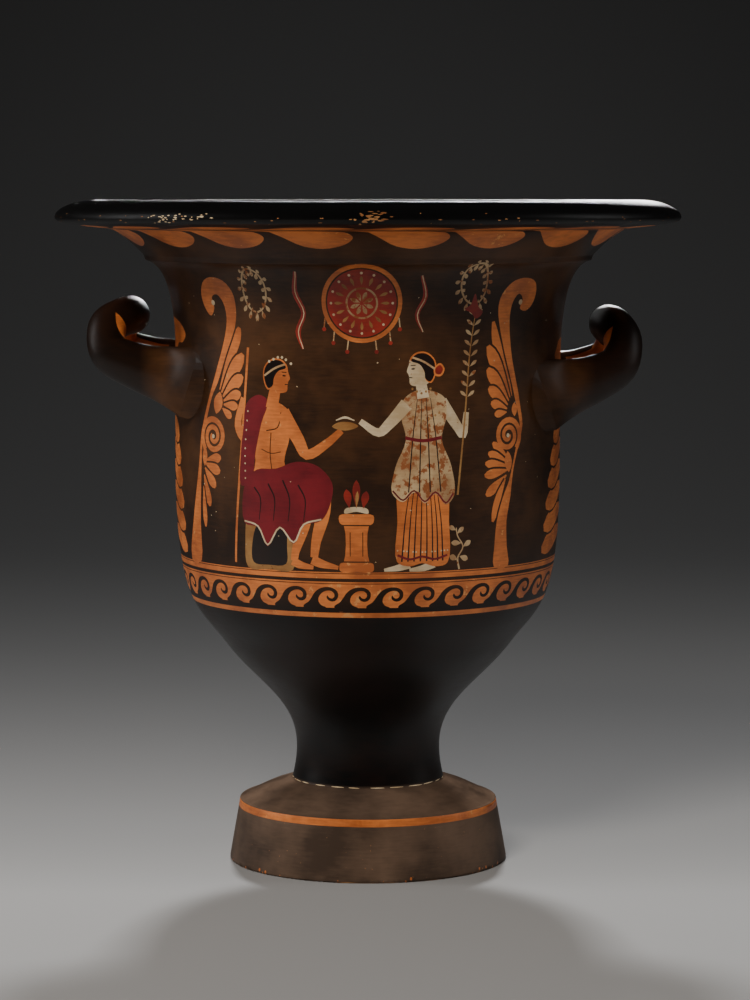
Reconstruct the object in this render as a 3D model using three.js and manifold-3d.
// Bell krater: a wide-mouthed mixing bowl on a stemmed foot, thrown and fired as one piece of clay,
// with two thick handles that leave the wall level and turn up at their ends.
// Millimetres, +Z up. The origin is on the ground under the middle of the foot, and the handles
// lie along X. The vessel is one hollow body: the bowl is open at the mouth, and the foot and
// stem are hollow from below.
import * as THREE from 'three';
import { mergeVertices } from 'three/addons/utils/BufferGeometryUtils.js';
import Module from 'manifold-3d';

// Rises, each measured from the end of the one before it
const FOOT_SIDE_RISE = 34.5;
const FOOT_TOP_RISE = 11.5;
const STEM_RISE = 18;
const BOWL_RISE = 161;
const WALL_RISE = 60;
const NECK_RISE = 52;
const CUP_RISE = 17;
const LIP_RISE = 16;

// Outer radii
const FOOT_RADIUS = 78;
const SHOULDER_RADIUS = 73;
const JOIN_RADIUS = 43.2;
const WAIST_RADIUS = 40.8;
const BELLY_RADIUS = 107.8;
const RIDGE_RADIUS = 124.6;
const CUP_RADIUS = 143;
const LIP_RADIUS = 174.5;
const CREST_RADIUS = 152.5;

// Clay
const WALL = 7;
const FOOT_RING = 12;
const STEM_WALL = 11;
const FLOOR = 10;
const RIDGE_STEP = 2.8;
const EDGE_ROUND = 1.6;

// Handles: reach is from the krater's axis, root height from the ground, rise from the root's
// middle to the top of the loop, and curl is how far the loop's end comes back to the wall
const LEFT_REACH = 155;
const LEFT_ROOT_HEIGHT = 273.5;
const LEFT_RISE = 43;
const LEFT_CURL = 12;
const RIGHT_REACH = 151;
const RIGHT_ROOT_HEIGHT = 266.5;
const RIGHT_RISE = 45;
const RIGHT_CURL = 6.5;
const ARM_SPREAD = 43;
const ROD_RADIUS = 10.6;
const ROOT_HALF_HEIGHT = 18.4;
const ROOT_HALF_WIDTH = 15;

// Fineness of the faceted surface
const TURN_STEPS = 64;
const OUTSIDE_STEPS = 6;
const INSIDE_STEPS = 3;
const ROD_SIDES = 14;
const ROD_STEPS = 32;
const LOOP_STEPS = 4;

// Share of the handle's hook where its arms begin to close into the loop
const LOOP_START = 0.42;

// Heights that follow from the rises
const SHOULDER_Z = FOOT_SIDE_RISE;
const JOIN_Z = SHOULDER_Z + FOOT_TOP_RISE;
const WAIST_Z = JOIN_Z + STEM_RISE;
const BELLY_Z = WAIST_Z + BOWL_RISE;
const NECK_Z = BELLY_Z + WALL_RISE;
const RIDGE_Z = NECK_Z + NECK_RISE;
const CUP_Z = RIDGE_Z + CUP_RISE;
const CREST_Z = CUP_Z + LIP_RISE;

const point = (radius, height) => new THREE.Vector2(radius, height);

// Points of a cubic curve from a to d, without its first point
function bend(a, b, c, d, steps) {
  return new THREE.CubicBezierCurve(a, b, c, d).getPoints(steps).slice(1);
}

// Foot: a drum that widens a little downwards, with a sloping top that runs in to the stem
function footLine() {
  const top = JOIN_RADIUS + 0.5 * (SHOULDER_RADIUS - JOIN_RADIUS);
  return [
    point(FOOT_RADIUS - EDGE_ROUND, 0),
    point(FOOT_RADIUS, EDGE_ROUND),
    point(0.5 * (FOOT_RADIUS + SHOULDER_RADIUS), 0.5 * SHOULDER_Z),
    point(SHOULDER_RADIUS, SHOULDER_Z - EDGE_ROUND),
    point(SHOULDER_RADIUS - EDGE_ROUND, SHOULDER_Z),
    point(top, SHOULDER_Z + 0.56 * FOOT_TOP_RISE),
    point(JOIN_RADIUS, JOIN_Z),
  ];
}

// Stem and bowl: one S-curve that swells from the waist, through its steepest place, to the belly
function bowlLine(steps) {
  const swell = BELLY_RADIUS - WAIST_RADIUS;
  const waist = point(WAIST_RADIUS, WAIST_Z);
  const belly = point(BELLY_RADIUS, BELLY_Z);
  const turn = point(WAIST_RADIUS + 0.592 * swell, WAIST_Z + 0.3665 * BOWL_RISE);
  const lean = point(0.304 * swell, 0.1735 * BOWL_RISE).multiplyScalar(0.78);
  const stem = bend(
    point(JOIN_RADIUS, JOIN_Z), point(JOIN_RADIUS - 0.6, JOIN_Z + 0.2 * STEM_RISE),
    point(WAIST_RADIUS, WAIST_Z - 0.5 * STEM_RISE), waist, 2,
  );
  const lower = bend(
    waist, point(WAIST_RADIUS, WAIST_Z + 0.166 * BOWL_RISE),
    turn.clone().sub(lean), turn, steps,
  );
  const upper = bend(
    turn, turn.clone().add(lean), point(BELLY_RADIUS, BELLY_Z - 0.512 * BOWL_RISE), belly, steps,
  );
  return [...stem, ...lower, ...upper];
}

// Wall and neck: nearly upright, then turning out to the ridge under the lip
function neckLine(steps) {
  const neck = point(BELLY_RADIUS, NECK_Z);
  const ridge = point(RIDGE_RADIUS, RIDGE_Z);
  const out = RIDGE_RADIUS - BELLY_RADIUS;
  return [
    neck,
    ...bend(
      neck, point(BELLY_RADIUS, NECK_Z + 0.33 * NECK_RISE),
      point(RIDGE_RADIUS - 0.88 * out, RIDGE_Z - 0.04 * NECK_RISE), ridge, steps,
    ),
  ];
}

// Lip: a hollow-sided cup above the ridge, then a level overhang with a rounded edge
function lipLine() {
  const ledge = point(RIDGE_RADIUS + 0.9, RIDGE_Z + RIDGE_STEP);
  const cup = point(CUP_RADIUS, CUP_Z);
  const overhang = LIP_RADIUS - CUP_RADIUS;
  const under = point(LIP_RADIUS - 0.06 * overhang, CUP_Z + 0.26 * LIP_RISE);
  const edge = point(LIP_RADIUS, CUP_Z + 0.42 * LIP_RISE);
  const crest = point(CREST_RADIUS, CREST_Z);
  return [
    ledge,
    ...bend(
      ledge, ledge.clone().lerp(cup, 0.3).add(point(-0.5, 0.8)),
      ledge.clone().lerp(cup, 0.72).add(point(-1, 1)), cup, 3,
    ),
    ...bend(
      cup, cup.clone().lerp(under, 0.3), cup.clone().lerp(under, 0.75).add(point(0, -0.9)), under, 2,
    ),
    edge,
    ...bend(
      edge, point(LIP_RADIUS, CREST_Z - 0.28 * LIP_RISE),
      point(0.5 * (LIP_RADIUS + CREST_RADIUS), CREST_Z), crest, 4,
    ),
  ];
}

// Moves each point of an open outline by the wall's thickness, square to the outline
function inset(line, depth) {
  return line.map((at, i) => {
    const before = line[Math.max(i - 1, 0)];
    const after = line[Math.min(i + 1, line.length - 1)];
    const along = after.clone().sub(before).normalize();
    return point(at.x - along.y * depth, at.y + along.x * depth);
  });
}

// Inside of the bowl, from the middle of its floor up to the mouth's rounded inner edge
function insideLine() {
  const floorZ = WAIST_Z + 0.16 * BOWL_RISE;
  const wallLine = inset([...bowlLine(INSIDE_STEPS), ...neckLine(INSIDE_STEPS)], WALL);
  const wall = wallLine.filter((at) => at.y > WAIST_Z + 0.3 * BOWL_RISE && at.y < RIDGE_Z - 2);
  const start = wall[0];
  const floor = bend(
    point(0, floorZ), point(0.55 * start.x, floorZ),
    start.clone().sub(point(0.18 * BELLY_RADIUS, 0.12 * BOWL_RISE)), start, 4,
  );
  const last = wall[wall.length - 1];
  const slope = point(CUP_RADIUS - RIDGE_RADIUS, CUP_RISE).normalize();
  const mouth = bend(
    last, last.clone().add(point(1, 8)),
    point(CREST_RADIUS - 0.3 * CUP_RISE, CREST_Z).sub(slope.multiplyScalar(0.7 * CUP_RISE)),
    point(CREST_RADIUS - 0.4 * LIP_RISE, CREST_Z - 0.06 * LIP_RISE), 4,
  );
  return [point(0, floorZ), ...floor, ...wall.slice(1), ...mouth];
}

// Hollow under the foot, from its standing ring up into the stem
function hollowLine() {
  const ring = FOOT_RADIUS - FOOT_RING;
  const shaft = WAIST_RADIUS - STEM_WALL;
  const top = WAIST_Z + 0.16 * BOWL_RISE - FLOOR;
  return [
    point(ring, 0),
    point(ring - 2, 0.45 * SHOULDER_Z),
    point(0.5 * (ring + shaft), SHOULDER_Z - 3),
    point(shaft + 2, JOIN_Z - 6),
    point(shaft, JOIN_Z + 2),
    point(shaft, WAIST_Z),
    ...bend(point(shaft, WAIST_Z), point(shaft, top - 2), point(0.5 * shaft, top), point(0, top), 3),
  ];
}

// Turns a closed outline, given from the axis round to the axis, into a solid of revolution
function turned(outline) {
  const lathe = new THREE.LatheGeometry(outline, TURN_STEPS);
  lathe.rotateX(Math.PI / 2);
  return lathe;
}

// Handle: a level loop whose far end is rolled up and back towards the wall.
// side is +1 or -1 along X.
function handle(side, reach, rootZ, rise, curl) {
  const out = reach - BELLY_RADIUS;
  const climb = rise - ROD_RADIUS;
  const farX = reach - ROD_RADIUS;
  const rootX = Math.sqrt(BELLY_RADIUS ** 2 - ARM_SPREAD ** 2) - WALL / 2;
  const turnZ = rootZ + 0.66 * climb;
  const hook = new THREE.CurvePath();
  hook.add(new THREE.CubicBezierCurve(
    point(rootX, rootZ - 0.1 * climb), point(BELLY_RADIUS + 0.33 * out, rootZ + 0.19 * climb),
    point(farX, rootZ + 0.25 * climb), point(farX, turnZ),
  ));
  hook.add(new THREE.CubicBezierCurve(
    point(farX, turnZ), point(farX, rootZ + 0.88 * climb),
    point(farX - 0.44 * curl, rootZ + climb), point(farX - curl, rootZ + climb),
  ));
  const place = (share, y) => {
    const at = hook.getPoint(share);
    return new THREE.Vector3(side * at.x, y, at.y);
  };
  const near = [place(0, ARM_SPREAD), place(0.5 * LOOP_START, ARM_SPREAD)];
  for (let i = 0; i < LOOP_STEPS; i += 1) {
    const turn = (0.5 * Math.PI * i) / LOOP_STEPS;
    near.push(place(LOOP_START + (1 - LOOP_START) * Math.sin(turn), ARM_SPREAD * Math.cos(turn)));
  }
  const far = near.map((at) => new THREE.Vector3(at.x, -at.y, at.z)).reverse();
  const path = new THREE.CatmullRomCurve3([...near, place(1, 0), ...far]);
  return rod(path, (share) => {
    const fromRoot = Math.min(share, 1 - share);
    const flare = Math.max(0, 1 - fromRoot / 0.32) ** 1.7;
    return [
      ROD_RADIUS + flare * (ROOT_HALF_WIDTH - ROD_RADIUS),
      ROD_RADIUS + flare * (ROOT_HALF_HEIGHT - ROD_RADIUS),
    ];
  });
}

// Closed tube along a path; halves gives its half width and half height at a share of the path
function rod(path, halves) {
  const up = new THREE.Vector3(0, 0, 1);
  const places = [];
  const faces = [];
  for (let i = 0; i <= ROD_STEPS; i += 1) {
    const share = i / ROD_STEPS;
    const at = path.getPointAt(share);
    const along = path.getTangentAt(share);
    const across = new THREE.Vector3().crossVectors(along, up).normalize();
    const over = new THREE.Vector3().crossVectors(across, along);
    const [wide, high] = halves(share);
    for (let k = 0; k < ROD_SIDES; k += 1) {
      const turn = (2 * Math.PI * k) / ROD_SIDES;
      const corner = at.clone();
      corner.addScaledVector(across, wide * Math.cos(turn));
      corner.addScaledVector(over, high * Math.sin(turn));
      places.push(corner.x, corner.y, corner.z);
    }
  }
  const corner = (i, k) => i * ROD_SIDES + (k % ROD_SIDES);
  for (let i = 0; i < ROD_STEPS; i += 1) {
    for (let k = 0; k < ROD_SIDES; k += 1) {
      faces.push(corner(i, k), corner(i, k + 1), corner(i + 1, k + 1));
      faces.push(corner(i, k), corner(i + 1, k + 1), corner(i + 1, k));
    }
  }
  for (let k = 1; k < ROD_SIDES - 1; k += 1) {
    faces.push(corner(0, 0), corner(0, k + 1), corner(0, k));
    faces.push(corner(ROD_STEPS, 0), corner(ROD_STEPS, k), corner(ROD_STEPS, k + 1));
  }
  const tube = new THREE.BufferGeometry();
  tube.setAttribute('position', new THREE.Float32BufferAttribute(places, 3));
  tube.setIndex(faces);
  return tube;
}

const wasm = await Module();
wasm.setup();

// Solid for joining and cutting; a mesh that is inside out is turned right way round first
function toSolid(geometry) {
  const bare = geometry.clone();
  bare.deleteAttribute('normal');
  bare.deleteAttribute('uv');
  const merged = mergeVertices(bare, 1e-4);
  const corners = Uint32Array.from(merged.index.array);
  const vertProperties = Float32Array.from(merged.attributes.position.array);
  const triVerts = withoutSlivers(corners);
  const build = (verts) => new wasm.Manifold(new wasm.Mesh({ numProp: 3, vertProperties, triVerts: verts }));
  const solid = build(triVerts);
  return solid.volume() > 0 ? solid : build(turnedOver(triVerts));
}

// Triangles that lost a corner when the vertices on the axis were merged
function withoutSlivers(corners) {
  const kept = [];
  for (let i = 0; i < corners.length; i += 3) {
    const [a, b, c] = corners.subarray(i, i + 3);
    if (a !== b && b !== c && c !== a) kept.push(a, b, c);
  }
  return Uint32Array.from(kept);
}

function turnedOver(corners) {
  return corners.map((value, i) => (i % 3 === 0 ? value : corners[i % 3 === 1 ? i + 1 : i - 1]));
}

function toGeometry(solid) {
  const mesh = solid.getMesh();
  const geometry = new THREE.BufferGeometry();
  geometry.setAttribute('position', new THREE.BufferAttribute(mesh.vertProperties, 3));
  geometry.setIndex(new THREE.BufferAttribute(mesh.triVerts, 1));
  geometry.computeVertexNormals();
  return geometry;
}

// The whole vessel: the turned outside joined with the handles, then hollowed
function kraterSolid() {
  const outer = [
    ...footLine(), ...bowlLine(OUTSIDE_STEPS), ...neckLine(OUTSIDE_STEPS - 1), ...lipLine(),
  ];
  const inside = insideLine();
  const brim = [...inside, outer[outer.length - 1], point(CREST_RADIUS, CREST_Z + WALL)];
  const outside = toSolid(turned([point(0, 0), ...outer, point(0, CREST_Z)]));
  const bowl = toSolid(turned([...brim, point(0, CREST_Z + WALL)]));
  const hollow = hollowLine();
  const under = toSolid(turned([point(0, -WALL), point(hollow[0].x, -WALL), ...hollow]));
  return outside
    .add(toSolid(handle(-1, LEFT_REACH, LEFT_ROOT_HEIGHT, LEFT_RISE, LEFT_CURL)))
    .add(toSolid(handle(1, RIGHT_REACH, RIGHT_ROOT_HEIGHT, RIGHT_RISE, RIGHT_CURL)))
    .subtract(bowl)
    .subtract(under);
}

// Black gloss over fired orange clay
const gloss = new THREE.MeshStandardMaterial({ color: 0x1a100c, roughness: 0.34, metalness: 0 });

const krater = new THREE.Mesh(toGeometry(kraterSolid()), gloss);
krater.name = 'krater';

const model = new THREE.Group();
model.add(krater);

export default model;
